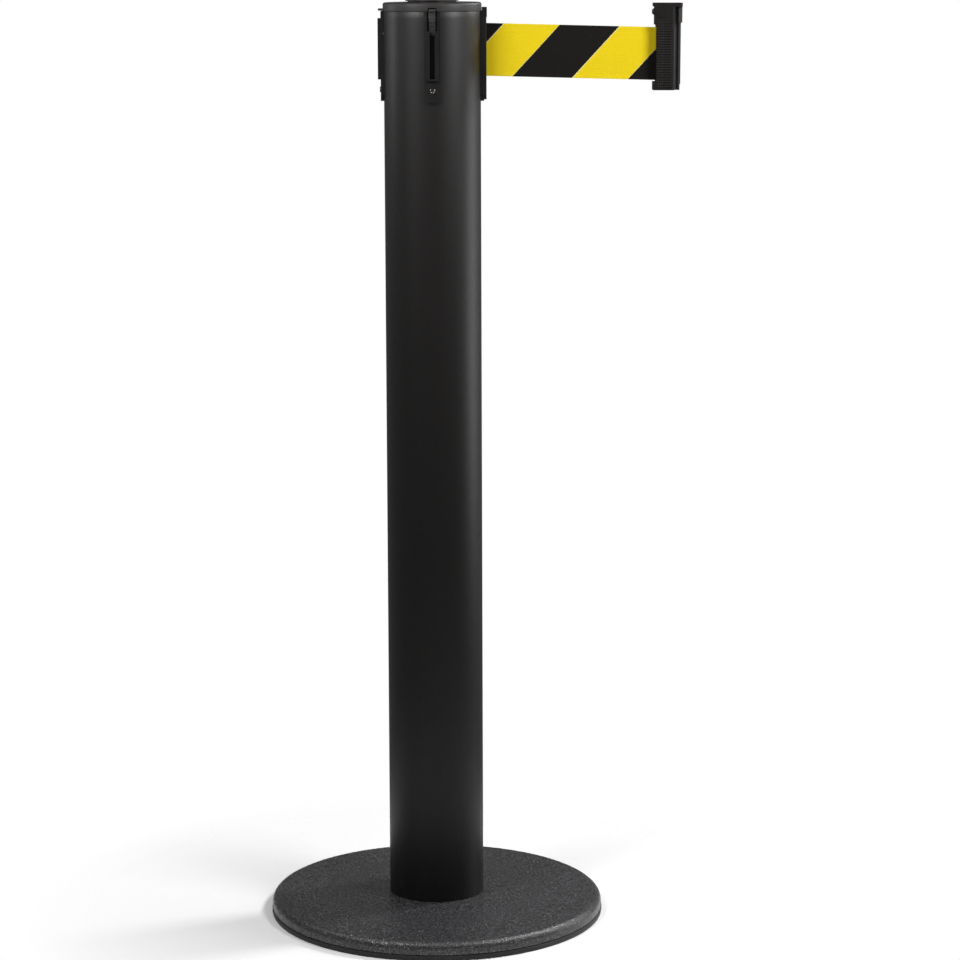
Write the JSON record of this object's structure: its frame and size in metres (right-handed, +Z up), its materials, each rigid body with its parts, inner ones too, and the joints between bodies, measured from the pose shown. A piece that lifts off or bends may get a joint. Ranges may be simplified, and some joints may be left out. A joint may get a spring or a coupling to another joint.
{
  "type": "retractable belt stanchion",
  "caption": "Free-standing black post on a heavy round base, with a spring-wound striped belt, a clip-in belt end, side receivers and a capped top.",
  "frame": {"origin": "centre of the foot on the floor, on the post's axis", "axes": "+Z up along the post, +X the way the belt runs out, -Y the side of the front receiver"},
  "size_m": [0.441, 0.3592, 0.9878],
  "materials": {
    "base_coat": "textured dark powder coat on cast iron",
    "rubber": "matt black rubber",
    "post_coat": "satin black powder coat on steel",
    "cap_plastic": "satin black moulded plastic",
    "receiver_plastic": "black moulded plastic",
    "latch_plastic": "black moulded plastic, slightly glossy",
    "screw_metal": "blackened steel screw",
    "steel": "zinc plated steel",
    "spring_steel": "blued spring steel",
    "inner_plastic": "black glass-filled nylon",
    "bush_nylon": "natural nylon",
    "roller_nylon": "white acetal",
    "belt_webbing": "woven polyester, black and yellow diagonal stripes",
    "end_plastic": "matt black ribbed plastic",
    "rail_plastic": "satin black plastic",
    "button_plastic": "black plastic"
  },
  "bodies": {
    "post": {"base_plate": "base_coat", "floor_ring": "rubber", "centre_bolt": "steel", "bolt_washer": "steel", "tube_foot_plate": "steel", "post_tube": "post_coat", "top_cap": "cap_plastic", "cap_bolt": "steel", "front_receiver": "receiver_plastic", "left_receiver": "receiver_plastic", "back_receiver": "receiver_plastic", "receiver_screws": "screw_metal", "latch_pins": "steel", "front_latch_spring": "spring_steel", "left_latch_spring": "spring_steel", "back_latch_spring": "spring_steel", "belt_outlet": "receiver_plastic", "outlet_screw": "screw_metal", "cassette_base": "inner_plastic", "cassette_top_plate": "inner_plastic", "cassette_pillars": "steel", "cassette_screws": "steel", "spool_shaft": "steel", "shaft_clip": "spring_steel", "power_spring": "spring_steel", "roller_pins": "steel"},
    "cap_plug": {"cap_plug": "cap_plastic"},
    "spool": {"spool_drum": "inner_plastic", "spool_cover": "inner_plastic", "spool_bushes": "bush_nylon", "belt_roll": "belt_webbing"},
    "left_guide_roller": {"left_guide_roller": "roller_nylon"},
    "right_guide_roller": {"right_guide_roller": "roller_nylon"},
    "belt_end": {"belt_web": "belt_webbing", "belt_clamp_pin": "steel", "belt_end_front_shell": "end_plastic", "belt_end_back_shell": "end_plastic", "belt_end_rail": "rail_plastic", "belt_end_screws": "screw_metal", "shell_clip": "end_plastic", "button_spring": "spring_steel"},
    "lock_button": {"lock_button": "button_plastic"},
    "front_latch": {"front_latch": "latch_plastic"},
    "left_latch": {"left_latch": "latch_plastic"},
    "back_latch": {"back_latch": "latch_plastic"}
  },
  "joints": [
    {"name": "belt_slide", "type": "slide", "parent": "post", "child": "belt_end", "axis": [0.9996, 0, -0.0297], "range_m": [-0.1725, 2.82], "stiffness_N_per_m": 1, "springref_m": -5, "deforming": ["belt_web"]},
    {"name": "spool_spin", "type": "hinge", "parent": "post", "child": "spool", "pos_m": [0, 0, 0.9322], "axis": [0, 0, 1], "continuous": true, "deforming": ["power_spring"]},
    {"name": "left_roller_spin", "type": "hinge", "parent": "post", "child": "left_guide_roller", "pos_m": [0.0435, 0.0043, 0.9322], "axis": [0, 0, 1], "continuous": true},
    {"name": "right_roller_spin", "type": "hinge", "parent": "post", "child": "right_guide_roller", "pos_m": [0.0435, -0.0043, 0.9322], "axis": [0, 0, 1], "continuous": true},
    {"name": "lock_button_press", "type": "slide", "parent": "belt_end", "child": "lock_button", "axis": [1, 0, -0.0052], "range_m": [0, 0.0022], "stiffness_N_per_m": 400, "springref_m": -0.002, "deforming": ["button_spring"]},
    {"name": "cap_plug_lift", "type": "slide", "parent": "post", "child": "cap_plug", "axis": [0, 0, 1], "range_m": [0, 0.03]},
    {"name": "front_latch_tilt", "type": "hinge", "parent": "post", "child": "front_latch", "pos_m": [0, -0.0511, 0.9496], "axis": [-1, 0, 0], "range_deg": [0, 9], "stiffness_Nm_per_rad": 0.03, "springref_deg": -11.46, "deforming": ["front_latch_spring"]},
    {"name": "left_latch_tilt", "type": "hinge", "parent": "post", "child": "left_latch", "pos_m": [-0.0511, 0, 0.9496], "axis": [0, 1, 0], "range_deg": [0, 9], "stiffness_Nm_per_rad": 0.03, "springref_deg": -11.46, "deforming": ["left_latch_spring"]},
    {"name": "back_latch_tilt", "type": "hinge", "parent": "post", "child": "back_latch", "pos_m": [0, 0.0511, 0.9496], "axis": [1, 0, 0], "range_deg": [0, 9], "stiffness_Nm_per_rad": 0.03, "springref_deg": -11.46, "deforming": ["back_latch_spring"]}
  ],
  "couplings": [
    {"joint": "spool_spin", "follows": "belt_slide", "rad_per_m": -29.586},
    {"joint": "left_roller_spin", "follows": "belt_slide", "rad_per_m": 232.56},
    {"joint": "right_roller_spin", "follows": "belt_slide", "rad_per_m": -232.56}
  ]
}
